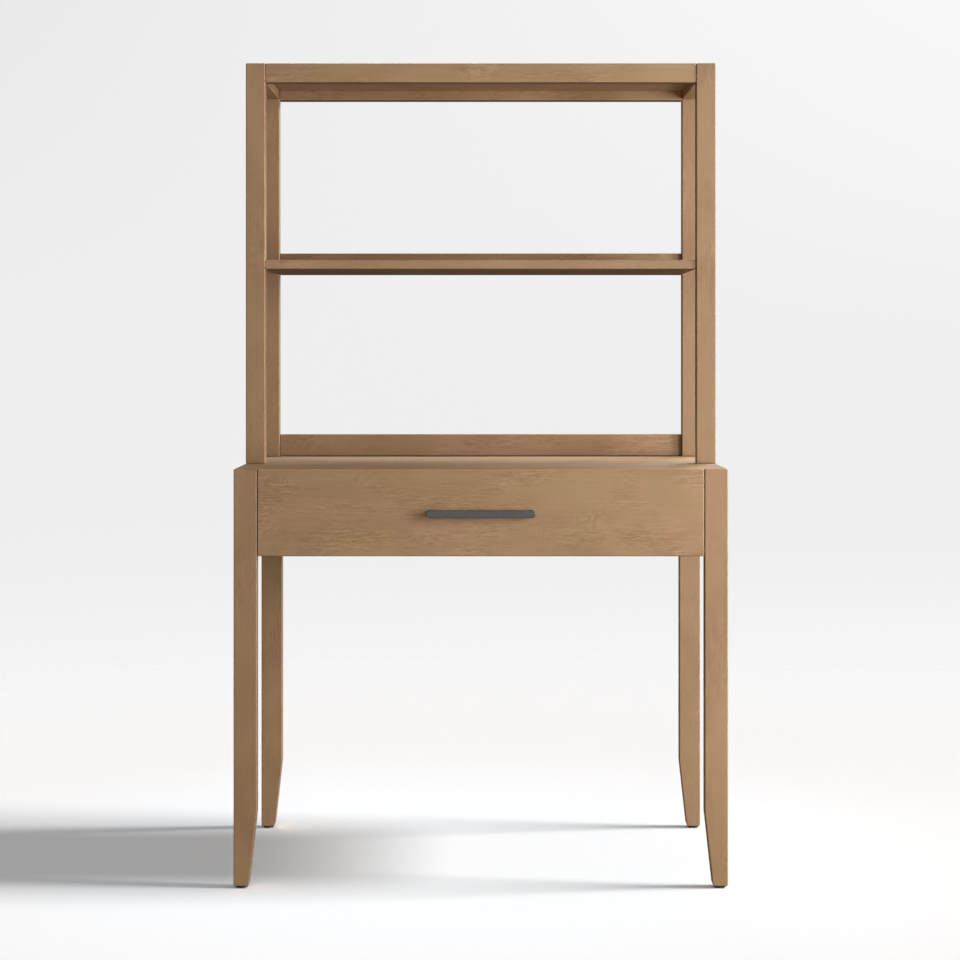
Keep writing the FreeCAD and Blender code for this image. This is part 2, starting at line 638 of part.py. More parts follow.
def hutch_bolts():
    """Socket-head bolts from under the desk top up into the front posts."""
    head_radius, head_height = HUTCH_BOLT_HEAD
    across_flats, socket_depth = HUTCH_BOLT_SOCKET
    head = cylinder(head_radius, (0, 0, -head_height), (0, 0, 0))
    head = head.makeChamfer(0.5, edges_at(head, "Z", -head_height))
    bolt = head.fuse(cylinder(BOLT_RADIUS, (0, 0, 0), (0, 0, HUTCH_BOLT_LENGTH))).removeSplitter()
    bolt = bolt.cut(hexagon(across_flats, -head_height, socket_depth - head_height)).Solids[0]
    bolt.translate(Vector(LEG_INNER + HUTCH_BOLT_INSET, HUTCH_FRONT + POST_DEPTH / 2, TOP_UNDER))
    return both_sides([bolt])


def plate_middle():
    """Centre of the right-hand tie plate's back face."""
    return (HALF - POST_WIDTH / 2, Y_BACK, DESK_HEIGHT)


def tie_plate_screws():
    """Four countersunk screws in each tie plate: two into the leg and two into the post."""
    x, y, z = plate_middle()
    screw = flat_screw(SHORT_SCREW_LENGTH)
    return both_sides([placed(screw, (x, y, z + offset), (0, -1, 0)) for offset in PLATE_SCREW_OFFSETS])


def plate_blank():
    """Right-hand steel tie plate, let into the backs of the rear leg and the post."""
    x, y, z = plate_middle()
    plate = block((x - PLATE_WIDTH / 2, x + PLATE_WIDTH / 2), (y - PLATE_THICKNESS, y),
                  (z - PLATE_HEIGHT / 2, z + PLATE_HEIGHT / 2))
    return plate.makeFillet(PLATE_CORNER, [e for e in plate.Edges if e.BoundBox.YLength > 1.0])


# ---- hutch pieces

def hutch_post(y, fasteners):
    """Right-hand post from y backwards, from the desk's surface to the very top."""
    post = board((POST_INNER, HALF), (y, y + POST_DEPTH), (DESK_HEIGHT, TOTAL_HEIGHT))
    return drilled(post, fasteners)


def between_posts(y, z, fasteners):
    """Board from inner post face to inner post face between the (low, high) pairs y and z."""
    return drilled(board((-POST_INNER, POST_INNER), y, z), fasteners)


def top_side_rail(fasteners):
    """Right top rail from front post to rear post, level with their inner faces."""
    rail = board((POST_INNER, HALF - SIDE_RAIL_RECESS), (POST_BACK, REAR_POST_FRONT),
                 (SIDE_RAIL_LOW, TOTAL_HEIGHT))
    return drilled(rail, fasteners)


# ---- assembly

def make_desk():
    """Desk pieces that stand still, by node name."""
    dowel_pins = both_sides(right_desk_dowels())
    angle_screws = bracket_screws()
    locators = locating_dowels()
    bolts = hutch_bolts()
    plates = both_sides([plate_blank()])
    plate_screws = tie_plate_screws()
    runner_screws = slide_screws(LEG_INNER - SLIDE_STEEL, 1)
    corner_bolts = corner_bolt()
    glides = {"front": glide(Y_FRONT), "rear": glide(REAR_LEG_FRONT)}
    in_legs = dowel_pins + locators + plates + plate_screws + corner_bolts + list(glides.values())
    right = {
        "front_{}_leg": desk_leg(Y_FRONT, in_legs),
        "rear_{}_leg": desk_leg(REAR_LEG_FRONT, in_legs),
        "front_{}_glide": glides["front"],
        "rear_{}_glide": glides["rear"],
        "{}_apron": side_apron(dowel_pins + angle_screws + runner_screws),
        "{}_slide_block": slide_block(runner_screws),
        "rear_{}_corner_block": drilled(corner_block(), corner_bolts),
        "{}_slide_cabinet_member": drilled(channel(CABINET_CHANNEL, SLIDE_Y), runner_screws),
    }
    whole = {
        "desk_top": [desk_top(locators + bolts + angle_screws)],
        "back_apron": [back_apron(dowel_pins + angle_screws)],
        "front_stretcher": [front_stretcher(dowel_pins)],
        "desk_dowels": dowel_pins,
        "corner_bolts": both_sides(corner_bolts),
        "top_brackets": top_brackets(angle_screws),
        "top_bracket_screws": angle_screws,
        "cabinet_slide_screws": both_sides(runner_screws),
    }
    return right, whole


def make_drawer():
    """Pieces that slide out with the drawer, and the slide parts between it and the desk."""
    runner_screws = slide_screws(BOX_HALF + SLIDE_STEEL, -1)
    handle_screws = pull_screws()
    front_screws = drawer_front_screws()
    through = handle_screws + front_screws
    right = {
        "drawer_{}_side": drawer_side(runner_screws),
        "{}_slide_drawer_member": drilled(channel(DRAWER_CHANNEL, SLIDE_Y), runner_screws),
        "{}_slide_middle_member": channel(MIDDLE_CHANNEL, SLIDE_Y),
    }
    cages = {
        "{}_outer_ball_cage": ball_cage(OUTER_CAGE_CHANNEL, OUTER_BALL_X, MIDDLE_CHANNEL[2] + RACE_GAP / 2),
        "{}_inner_ball_cage": ball_cage(INNER_CAGE_CHANNEL, INNER_BALL_X, DRAWER_CHANNEL[2] + RACE_GAP / 2),
    }
    whole = {
        "drawer_front": [drawer_front(through)],
        "drawer_box_front": [drawer_cross_board((FRONT_BACK, BOX_FRONT_BACK), through)],
        "drawer_box_back": [drawer_cross_board((BOX_REAR_FRONT, BOX_BACK), [])],
        "drawer_bottom": [drawer_bottom()],
        "drawer_pull": [drawer_pull(handle_screws)],
        "pull_screws": handle_screws,
        "drawer_front_screws": front_screws,
        "drawer_bumpers": drawer_bumpers(),
        "drawer_slide_screws": both_sides(runner_screws),
    }
    return right, cages, whole


def make_hutch():
    """Hutch pieces, by node name."""
    pins = both_sides(right_hutch_dowels())
    locators = locating_dowels()
    bolts = hutch_bolts()
    plate_screws = tie_plate_screws()
    plates = both_sides([plate_blank()])
    in_posts = pins + locators + bolts + plates + plate_screws
    right = {
        "front_{}_post": hutch_post(HUTCH_FRONT, in_posts),
        "rear_{}_post": hutch_post(REAR_POST_FRONT, in_posts),
        "top_{}_rail": top_side_rail(pins),
    }
    rail_z = (RAIL_LOW, TOTAL_HEIGHT)
    strip_y = (STRIP_FRONT, Y_BACK)
    shelf_y = (HUTCH_FRONT + SHELF_RECESS, STRIP_FRONT)
    whole = {
        "top_front_rail": [between_posts((HUTCH_FRONT + FRONT_RAIL_RECESS, POST_BACK), rail_z, pins)],
        "top_rear_rail": [between_posts((REAR_POST_FRONT, Y_BACK), rail_z, pins)],
        "hutch_top_panel": [between_posts((POST_BACK, REAR_POST_FRONT), (HUTCH_TOP_LOW, TOTAL_HEIGHT), pins)],
        "hutch_shelf": [between_posts(shelf_y, (SHELF_LOW, SHELF_LOW + SHELF_THICKNESS), pins)],
        "shelf_back_strip": [between_posts(strip_y, (SHELF_LOW, SHELF_LOW + STRIP_HEIGHT), pins)],
        "lower_back_strip": [between_posts(strip_y, (DESK_HEIGHT + STRIP_GAP, LOWER_STRIP_TOP), pins)],
        "hutch_dowels": pins,
        "locating_dowels": locators,
        "hutch_bolts": bolts,
        "tie_plates": [drilled(plate, plate_screws) for plate in plates],
        "tie_plate_screws": plate_screws,
    }
    return right, whole


def export(name, solids):
    """Writes one node as a STEP file, and reports a solid that isn't sound."""
    for solid in solids:
        if not solid.isValid() or solid.Volume <= 0 or len(solid.Solids) != 1:
            print("unsound solid in", name)
    shape = solids[0] if len(solids) == 1 else Part.makeCompound(solids)
    shape.exportStep("parts/" + name + ".step")


def export_pair(pattern, solids):
    """Writes a right-hand node and its left-hand mirror image."""
    export(pattern.format("right"), solids)
    export(pattern.format("left"), [mirrored(solid) for solid in solids])


os.makedirs("parts", exist_ok=True)
desk_right, desk_whole = make_desk()
drawer_right, drawer_cages, drawer_whole = make_drawer()
hutch_right, hutch_whole = make_hutch()
for handed in (desk_right, drawer_right, hutch_right):
    for pattern, solid in handed.items():
        export_pair(pattern, [solid])
for pattern, solids in drawer_cages.items():
    export_pair(pattern, solids)
for group in (desk_whole, drawer_whole, hutch_whole):
    for name, solids in group.items():
        export(name, solids)
print(len(os.listdir("parts")), "nodes")
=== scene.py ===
"""Looks of the student desk with hutch: stained wood, a gunmetal bar pull, steel drawer slides.
Everything is in metres, in the row frame: +Z up, -Y towards the person at the desk."""
import math

import bpy
import numpy as np
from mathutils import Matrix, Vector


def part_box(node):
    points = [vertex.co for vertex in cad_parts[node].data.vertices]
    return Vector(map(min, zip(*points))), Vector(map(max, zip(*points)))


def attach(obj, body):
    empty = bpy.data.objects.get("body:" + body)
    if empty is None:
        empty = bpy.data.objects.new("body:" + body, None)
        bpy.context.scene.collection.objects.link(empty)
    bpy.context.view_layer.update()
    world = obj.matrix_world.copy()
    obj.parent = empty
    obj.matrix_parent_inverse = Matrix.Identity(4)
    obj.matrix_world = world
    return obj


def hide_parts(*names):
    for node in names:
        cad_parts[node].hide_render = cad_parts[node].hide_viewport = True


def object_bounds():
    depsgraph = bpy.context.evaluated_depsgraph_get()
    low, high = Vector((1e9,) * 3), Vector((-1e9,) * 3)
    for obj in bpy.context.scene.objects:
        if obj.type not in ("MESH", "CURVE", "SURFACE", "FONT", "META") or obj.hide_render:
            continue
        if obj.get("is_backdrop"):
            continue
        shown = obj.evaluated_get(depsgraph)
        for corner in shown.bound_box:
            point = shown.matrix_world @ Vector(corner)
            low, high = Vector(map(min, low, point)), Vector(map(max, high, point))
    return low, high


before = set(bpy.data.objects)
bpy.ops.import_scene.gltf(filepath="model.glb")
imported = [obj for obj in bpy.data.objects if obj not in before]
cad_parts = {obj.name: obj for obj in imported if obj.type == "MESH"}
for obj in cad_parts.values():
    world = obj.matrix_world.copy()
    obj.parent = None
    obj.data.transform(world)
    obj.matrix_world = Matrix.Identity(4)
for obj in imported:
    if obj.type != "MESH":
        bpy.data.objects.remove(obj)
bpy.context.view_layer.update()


# ---- camera ----------------------------------------------------------------------------------
# The desk is seen square on from 4.5 m, at about chest height, through a long lens. The lens is
# shifted down, so that the uprights stay upright while the picture takes in the floor.

LEG_FRONT_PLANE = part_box("front_left_leg")[0].y
CAMERA_DISTANCE = 4.535
CAMERA_HEIGHT = 0.987
IMAGE_SIDE = 960
HORIZON_ROW = 354.6
MIDDLE_COLUMN = 480.8

camera = bpy.data.cameras.new("camera")
camera.lens = 92.0
camera.sensor_width = 36.0
camera.shift_x = (IMAGE_SIDE / 2 - MIDDLE_COLUMN) / IMAGE_SIDE
camera.shift_y = (HORIZON_ROW - IMAGE_SIDE / 2) / IMAGE_SIDE
camera_object = bpy.data.objects.new("camera", camera)
camera_object.location = (0.0, LEG_FRONT_PLANE - CAMERA_DISTANCE, CAMERA_HEIGHT)
camera_object.rotation_euler = (math.radians(90), 0, 0)
bpy.context.collection.objects.link(camera_object)
bpy.context.scene.camera = camera_object


# ---- studio floor and light ------------------------------------------------------------------
# A matt white floor that fades into a pale backdrop. A key light on the right throws the long soft
# shadow. The other lights are softboxes that leave the floor alone: a warm wide one in front, cooler
# tall ones at the right for the faces, and four behind that shine on the desk top through the hutch.

# Only the key and the ambient light reach the floor, and both are warm, so the colours that it shows are
# above 1 and lean to blue. Near the desk they are painted brighter and bluer: a painted pool of light that
# falls off outwards over FLOOR_COLOUR_REACH and offsets the warm light bounced off the wood. Other pieces
# feel a plain white floor.
FLOOR_RADIUS = 9.0
FLOOR_SIDES = 96
FLOOR_FADE = (1.35, 3.6)
FLOOR_NEAR_COLOUR = (2.87, 3.19, 3.74, 1)
FLOOR_FAR_COLOUR = (2.77, 2.92, 3.28, 1)
FLOOR_COLOUR_REACH = (0.5, 1.3)
FLOOR_BOUNCE = (0.80, 0.80, 0.80, 1)
AMBIENT = 0.128
AMBIENT_COLOUR = (1.0, 0.95, 0.85, 1)

# Greys of the backdrop at its foot, in the middle and at the top. They blend over these stretches of the
# direction in which it is seen.
BACKDROP_LEFT = (0.940, 0.858, 0.815)
BACKDROP_RIGHT = (0.985, 0.865, 0.945)
BACKDROP_FOOT = (-0.18, -0.06)
BACKDROP_RISE = (0.0, 0.14)
BACKDROP_SIDES = (-0.2, 0.2)

KEY_ELEVATION = 41.5
KEY_SPREAD = 17.5
KEY_STRENGTH = 0.99
WARM_LIGHT = (1.0, 0.93, 0.82)
COOL_LIGHT = (0.83, 0.915, 1.0)
BACK_LIGHT = (0.83, 0.93, 1.0)
DESK_BACK = (0, 0.15, 0.775)

bpy.context.scene.view_settings.view_transform = "Standard"


def node(tree, kind, inputs=None, **settings):
    """One shader node with its settings. An input is a value, or the output of another node that is joined
    to it."""
    made = tree.nodes.new(kind)
    for name, value in settings.items():
        setattr(made, name, value)
    for name, value in (inputs or {}).items():
        if isinstance(value, bpy.types.NodeSocket):
            tree.links.new(value, made.inputs[name])
        else:
            made.inputs[name].default_value = value
    return made


def math_of(tree, operation, first, second=0.0, third=0.0, clamp=False):
    """Result of one Math node."""
    return node(tree, "ShaderNodeMath", {0: first, 1: second, 2: third}, operation=operation,
                use_clamp=clamp).outputs[0]


def spread(tree, value, low, high, to_low=0.0, to_high=1.0, **settings):
    """The value moved from the range low to high into the range to_low to to_high, and held inside it."""
    return node(tree, "ShaderNodeMapRange", {"Value": value, "From Min": low, "From Max": high,
                "To Min": to_low, "To Max": to_high}, **settings).outputs[0]


def colour_mix(tree, factor, first, second):
    """Mix of two colours: 0 is the first, 1 the second."""
    return node(tree, "ShaderNodeMix", {0: factor, 6: first, 7: second}, data_type="RGBA").outputs[2]


def new_material(name):
    """Empty material and its node tree."""
    material = bpy.data.materials.new(name)
    material.use_nodes = True
    material.node_tree.nodes.clear()
    return material, material.node_tree


# The floor is a disc: one face inside a ring of points at half its radius, and quads from there to the rim.
turn = np.linspace(0, 2 * np.pi, FLOOR_SIDES, endpoint=False)
rings = np.array([FLOOR_RADIUS / 2, FLOOR_RADIUS])
flat = np.zeros((2, FLOOR_SIDES))
disc = np.stack([np.outer(rings, np.cos(turn)), np.outer(rings, np.sin(turn)), flat], -1)
inner = np.arange(FLOOR_SIDES)
outer = inner + FLOOR_SIDES
quads = np.stack([inner, outer, np.roll(outer, -1), np.roll(inner, -1)], -1)
floor_mesh = bpy.data.meshes.new("studio_floor")
floor_mesh.from_pydata(disc.reshape(-1, 3).tolist(), [], [*quads.tolist(), inner.tolist()])
floor = bpy.data.objects.new("studio_floor", floor_mesh)
bpy.context.collection.objects.link(floor)

floor_paint, tree = new_material("studio_floor_paint")
place = node(tree, "ShaderNodeTexCoord")
reach = node(tree, "ShaderNodeVectorMath", {0: place.outputs["Object"]}, operation="LENGTH")
reach = reach.outputs["Value"]
fade = spread(tree, reach, *FLOOR_FADE, interpolation_type="SMOOTHSTEP")
ray = node(tree, "ShaderNodeLightPath")
# Painted light: the floor's shown colour is brighter and bluer near the desk and falls off outwards.
painted_falloff = spread(tree, reach, *FLOOR_COLOUR_REACH)
colour = colour_mix(tree, painted_falloff, FLOOR_NEAR_COLOUR, FLOOR_FAR_COLOUR)
shown = node(tree, "ShaderNodeBsdfDiffuse", {"Color": colour})
bounced = node(tree, "ShaderNodeBsdfDiffuse", {"Color": FLOOR_BOUNCE})
paint = node(tree, "ShaderNodeMixShader", {0: ray.outputs["Is Camera Ray"], 1: bounced.outputs[0],
             2: shown.outputs[0]})
clear = node(tree, "ShaderNodeBsdfTransparent")
mixed = node(tree, "ShaderNodeMixShader", {0: fade, 1: paint.outputs[0], 2: clear.outputs[0]})
node(tree, "ShaderNodeOutputMaterial", {"Surface": mixed.outputs[0]})
floor_mesh.materials.append(floor_paint)
floor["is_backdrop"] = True

world = bpy.data.worlds.new("studio")
bpy.context.scene.world = world
world.use_nodes = True
tree = world.node_tree
tree.nodes.clear()
place = node(tree, "ShaderNodeTexCoord")
look = node(tree, "ShaderNodeSeparateXYZ", {0: place.outputs["Generated"]})
sides = []
for greys in (BACKDROP_LEFT, BACKDROP_RIGHT):
    low, middle, high = ((grey, grey, grey, 1) for grey in greys)
    foot = spread(tree, look.outputs["Z"], *BACKDROP_FOOT, interpolation_type="SMOOTHSTEP")
    rise = spread(tree, look.outputs["Z"], *BACKDROP_RISE)
    sides.append(colour_mix(tree, rise, colour_mix(tree, foot, low, middle), high))
across = spread(tree, look.outputs["X"], *BACKDROP_SIDES)
backdrop = colour_mix(tree, across, *sides)
seen = node(tree, "ShaderNodeBackground", {"Color": backdrop, "Strength": 1.0})
felt = node(tree, "ShaderNodeBackground", {"Color": AMBIENT_COLOUR, "Strength": AMBIENT})
ray = node(tree, "ShaderNodeLightPath")
mixed = node(tree, "ShaderNodeMixShader", {0: ray.outputs["Is Camera Ray"], 1: felt.outputs[0],
             2: seen.outputs[0]})
node(tree, "ShaderNodeOutputWorld", {"Surface": mixed.outputs[0]})

off_the_floor = bpy.data.collections.new("off_the_floor")
off_the_floor.objects.link(floor)
off_the_floor.collection_objects[0].light_linking.link_state = "EXCLUDE"


def lamp(name, kind, aim, azimuth, elevation, distance):
    """Light that faces its aim from a compass direction: azimuth 0 is in front, 90 on the right."""
    light = bpy.data.lights.new(name, kind)
    around, up = math.radians(azimuth), math.radians(elevation)
    away = np.array([math.sin(around) * math.cos(up), -math.cos(around) * math.cos(up), math.sin(up)])
    placed = bpy.data.objects.new(name, light)
    placed.location = np.array(aim) + distance * away
    placed.rotation_euler = (math.radians(90) - up, 0, around)
    placed.visible_camera = False
    bpy.context.collection.objects.link(placed)
    return placed


def softbox(name, aim, azimuth, elevation, distance, size, watts, colour):
    """Rectangular light, size metres wide and high, that doesn't light the floor."""
    box = lamp(name, "AREA", aim, azimuth, elevation, distance)
    box.data.shape = "RECTANGLE"
    box.data.size, box.data.size_y = size
    box.data.energy = watts
    box.data.color = colour
    box.light_linking.receiver_collection = off_the_floor


key = lamp("key_light", "SUN", aim=(0, 0, 0), azimuth=90, elevation=KEY_ELEVATION, distance=5.0)
key.data.angle = math.radians(KEY_SPREAD)
key.data.energy = KEY_STRENGTH
key.data.color = WARM_LIGHT
# name, aim, azimuth, elevation, distance, width and height, watts, colour
for settings in (
        ("front_light", (0, -0.3, 0.8), 0, 3, 4.8, (3.0, 2.0), 53, WARM_LIGHT),
        ("right_front_light", (0, -0.3, 1.10), 45, 0, 2.5, (0.8, 1.4), 54, COOL_LIGHT),
        ("right_light", (0, -0.1, 0.85), 70, 0, 2.5, (0.6, 1.4), 57, COOL_LIGHT),
        ("right_top_light", (0, 0, 0.8), 90, 30, 1.7, (0.8, 1.2), 10, COOL_LIGHT),
        ("right_back_light", DESK_BACK, 120, 30, 3.0, (1.0, 1.0), 74, BACK_LIGHT),
        ("back_right_light", DESK_BACK, 140, 40, 3.0, (1.0, 1.0), 96, BACK_LIGHT),
        ("back_light", DESK_BACK, 187, 60, 3.0, (0.12, 0.8), 24, BACK_LIGHT),
        ("back_left_light", DESK_BACK, 205, 52, 3.0, (1.0, 1.0), 21, BACK_LIGHT)):
    softbox(*settings)


# ---- legs ------------------------------------------------------------------------------------
# Solid hardwood, planed square, tapered on the inner side at the foot, stained light brown and
# sprayed with a low-sheen clear lacquer. The grain runs up each leg, and no two legs come from the
# same piece of the log. Each leg's tone is partly its own wood and partly painted light and shade
# that evens out how the lamps fall on it.

def named_sockets(group, inputs, outputs):
    """Adds the sockets (name, kind, value) and (name, kind) to a node group, and returns what it is given."""
    for name, kind, value in inputs:
        socket = group.interface.new_socket(name, in_out="INPUT", socket_type="NodeSocket" + kind)
        if value is not None:
            socket.default_value = value
    for name, kind in outputs:
        group.interface.new_socket(name, in_out="OUTPUT", socket_type="NodeSocket" + kind)
    return group.nodes.new("NodeGroupInput").outputs


def stretched_noise(tree, vector, scale, detail=2.0, roughness=0.5, distortion=0.0):
    """Noise with so many features per metre along each axis."""
    at = node(tree, "ShaderNodeVectorMath", {0: vector, 1: scale}, operation="MULTIPLY")
    return node(tree, "ShaderNodeTexNoise", {"Vector": at.outputs[0], "Scale": 1.0, "Detail": detail,
                "Roughness": roughness, "Distortion": distortion})


RING_WANDER = 0.05
KNOTS_PER_METRE = (7.0, 17.0, 17.0)
KNOT_REACH = (0.34, 0.02)
KNOT_YEARS = 6.0
KNOT_CONTRAST = 0.35
CURL_CONTOURS = 11.0
END_STAIN = 0.35
EDGE_WEAR = 0.5
PINKER = (1.02, 0.99, 1.02, 1)
GREENER = (0.985, 1.01, 0.945, 1)


def wood_grain_group():
    """Grain of a board in the log it was cut from: x runs along the log, and its heart is the line y = z = 0.
    Growth rings are noise read along the distance from the heart. Slow noise makes them wander, and they
    bulge round scattered pin knots. Fibres, dashes and flecks are noise stretched along the log, the last two
    gathered in patches. Curls are the contour lines of slow noise, here and there, and clouds of the noise
    turn the stain a little pinker or greener. The ends soak up more stain than the faces."""
    group = bpy.data.node_groups.new("wood_grain", "ShaderNodeTree")
    given = named_sockets(group, (
        ("Vector", "Vector", None), ("Facing", "Vector", None), ("Worn", "Float", 0.0),
        ("Pale", "Color", (0.5, 0.3, 0.2, 1)), ("Dark", "Color", (0.3, 0.2, 0.1, 1)),
        ("Ring Width", "Float", 0.004), ("Rings", "Float", 0.3), ("Knots", "Float", 1.0),
        ("Fibres", "Float", 0.3), ("Dashes", "Float", 0.3), ("Flecks", "Float", 0.3),
        ("Curl", "Float", 0.2), ("Blotches", "Float", 0.3)),
        (("Color", "Color"), ("Roughness", "Float"), ("Height", "Float")))

    def noise(along, across, **settings):
        """Noise with so many features per metre along the log and across it."""
        return stretched_noise(group, given["Vector"], (along, across, across), **settings)

    def add(amount, layer, onto):
        """onto, raised and lowered by so much of the layer about its middle."""
        return math_of(group, "MULTIPLY_ADD", math_of(group, "SUBTRACT", layer, 0.5), amount, onto)

    drift = node(group, "ShaderNodeVectorMath", {0: noise(1.4, 5.0).outputs["Color"], 1: (0.5, 0.5, 0.5)},
                 operation="SUBTRACT")
    shifted = node(group, "ShaderNodeVectorMath", {0: drift.outputs[0], 1: (0, RING_WANDER, RING_WANDER),
                   2: given["Vector"]}, operation="MULTIPLY_ADD")
    across = node(group, "ShaderNodeVectorMath", {0: shifted.outputs[0], 1: (0, 1, 1)}, operation="MULTIPLY")
    radius = node(group, "ShaderNodeVectorMath", {0: across.outputs[0]}, operation="LENGTH").outputs["Value"]
    cells = node(group, "ShaderNodeVectorMath", {0: given["Vector"], 1: KNOTS_PER_METRE},
                 operation="MULTIPLY")
    knot = node(group, "ShaderNodeTexVoronoi", {"Vector": cells.outputs[0], "Scale": 1.0, "Randomness": 1.0})
    bulge = spread(group, knot.outputs["Distance"], *KNOT_REACH)
    bulge = math_of(group, "MULTIPLY", math_of(group, "POWER", bulge, 2.0), given["Knots"])
    years = math_of(group, "DIVIDE", radius, given["Ring Width"])
    years = math_of(group, "MULTIPLY_ADD", bulge, KNOT_YEARS, years)
    ring = node(group, "ShaderNodeTexNoise", {"W": years, "Scale": 1.0, "Detail": 2.0, "Roughness": 0.6},
                noise_dimensions="1D").outputs[0]
    ring = spread(group, ring, 0.3, 0.7)
    ring_depth = math_of(group, "MULTIPLY_ADD", bulge, KNOT_CONTRAST, given["Rings"])
    fibre = spread(group, noise(4.0, 650.0, detail=3.0, roughness=0.6).outputs[0], 0.3, 0.7)
    streak = spread(group, noise(1.5, 90.0, detail=3.0, roughness=0.6).outputs[0], 0.3, 0.7)
    dash = spread(group, noise(24.0, 230.0, roughness=0.6, distortion=0.8).outputs[0], 0.33, 0.67)
    fleck = spread(group, noise(75.0, 480.0, detail=1.0, distortion=0.6).outputs[0], 0.34, 0.66)
    patches = spread(group, noise(6.0, 17.0, distortion=0.5).outputs[0], 0.46, 0.62, 0.12, 1.0)
    slow = noise(26.0, 34.0, roughness=0.45, distortion=0.7).outputs[0]
    curl = math_of(group, "PINGPONG", math_of(group, "MULTIPLY", slow, CURL_CONTOURS), 1.0)
    whorls = spread(group, noise(9.0, 19.0, detail=1.0).outputs[0], 0.58, 0.72)
    clouds = noise(6.0, 11.0, distortion=0.6)
    blotch = spread(group, clouds.outputs[0], 0.3, 0.7)
    hue = node(group, "ShaderNodeSeparateXYZ", {0: clouds.outputs["Color"]})
    ends = node(group, "ShaderNodeSeparateXYZ", {0: given["Facing"]}).outputs[0]
    ends = spread(group, math_of(group, "ABSOLUTE", ends), 0.55, 0.95)

    # The tone starts halfway from pale to dark, and each layer moves it.
    tone = math_of(group, "MULTIPLY_ADD", ends, END_STAIN, 0.5)
    tone = add(ring_depth, ring, tone)
    tone = add(given["Fibres"], fibre, tone)
    tone = add(given["Fibres"], streak, tone)
    tone = add(math_of(group, "MULTIPLY", given["Dashes"], patches), dash, tone)
    tone = add(math_of(group, "MULTIPLY", given["Curl"], whorls), curl, tone)
    tone = add(math_of(group, "MULTIPLY", given["Blotches"], 0.5), blotch, tone)
    tone = add(math_of(group, "MULTIPLY", given["Flecks"], patches), fleck, tone)
    tone = math_of(group, "MULTIPLY_ADD", given["Worn"], -EDGE_WEAR, tone, clamp=True)
    colour = colour_mix(group, tone, given["Pale"], given["Dark"])
    green = spread(group, hue.outputs[1], 0.35, 0.65)
    tint = colour_mix(group, green, PINKER, GREENER)
    tint = colour_mix(group, given["Blotches"], (1, 1, 1, 1), tint)
    tinted = node(group, "ShaderNodeVectorMath", {0: colour, 1: tint}, operation="MULTIPLY").outputs[0]
    rough = math_of(group, "MULTIPLY_ADD", fibre, 0.06, math_of(group, "MULTIPLY_ADD", ends, 0.15, 0.46))
    rough = math_of(group, "MULTIPLY_ADD", given["Worn"], -0.08, rough)
    height = math_of(group, "MULTIPLY_ADD", fleck, -0.4, math_of(group, "MULTIPLY", fibre, 0.6))
    node(group, "NodeGroupOutput", {"Color": tinted, "Roughness": rough, "Height": height})
    return group


def box_edges_group():
    """Mask along the edges of a box-shaped piece: on a face one distance to the box's six sides is nought,
    and near an edge the second smallest is small too. Noise makes the worn band come and go."""
    group = bpy.data.node_groups.new("box_edges", "ShaderNodeTree")
    given = named_sockets(group, (
        ("Vector", "Vector", None), ("Low", "Vector", None), ("High", "Vector", None),
        ("Width", "Float", 0.002)), (("Mask", "Float"),))
    above = node(group, "ShaderNodeVectorMath", {0: given["Vector"], 1: given["Low"]}, operation="SUBTRACT")
    below = node(group, "ShaderNodeVectorMath", {0: given["High"], 1: given["Vector"]}, operation="SUBTRACT")
    near = node(group, "ShaderNodeVectorMath", {0: above.outputs[0], 1: below.outputs[0]},
                operation="MINIMUM")
    x, y, z = node(group, "ShaderNodeSeparateXYZ", {0: near.outputs[0]}).outputs
    larger = math_of(group, "MINIMUM", math_of(group, "MAXIMUM", x, y), z)
    second = math_of(group, "MAXIMUM", math_of(group, "MINIMUM", x, y), larger)
    rub = stretched_noise(group, given["Vector"], (38.0, 38.0, 38.0), detail=3.0).outputs[0]
    width = math_of(group, "MULTIPLY", given["Width"], spread(group, rub, 0.3, 0.7, 0.5, 1.3))
    mask = math_of(group, "SUBTRACT", 1.0, math_of(group, "DIVIDE", second, width), clamp=True)
    node(group, "NodeGroupOutput", {"Mask": mask})
    return group


WOOD_GRAIN = wood_grain_group()
BOX_EDGES = box_edges_group()
SLICE_LENGTH = 1.7
LOG_TURN = {"x": (0, 0, 0), "y": (0, 0, -math.pi / 2), "z": (0, math.pi / 2, 0)}
STAIN_PALE = (0.384, 0.2275, 0.122)
STAIN_DARK = (0.261, 0.145, 0.072)
CALM = {"Ring Width": 0.0045, "Rings": 0.07, "Knots": 0.4, "Fibres": 0.07, "Dashes": 0.35, "Flecks": 0.30,
        "Curl": 0.30, "Blotches": 0.9}
LIVELY = {**CALM, "Rings": 0.10, "Knots": 0.7, "Fibres": 0.11, "Dashes": 0.75, "Flecks": 0.60, "Curl": 0.60}
LACQUER = 0.30
UNDERSIDE_LACQUER = 0.1
UNDERSIDE_SPRAY = (-0.8, -0.3)
UNDERSIDE_SHADE = (-0.8, -0.2)
# Painted shade and painted light for undersides: a board's colour there is scaled by one of these, below 1
# for painted shade and above 1 for painted light, as the surface turns down over UNDERSIDE_SHADE.
UNDERSIDE_PAINTED_SHADE = 0.47
UNDERSIDE_PAINTED_LIGHT = 1.08


def box_edges(tree, place, name, width):
    """Worn-edge mask of the named node, read at its Object coordinates."""
    low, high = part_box(name)
    return node(tree, "ShaderNodeGroup", {"Vector": place.outputs["Object"], "Low": tuple(low),
                "High": tuple(high), "Width": width}, node_tree=BOX_EDGES).outputs["Mask"]


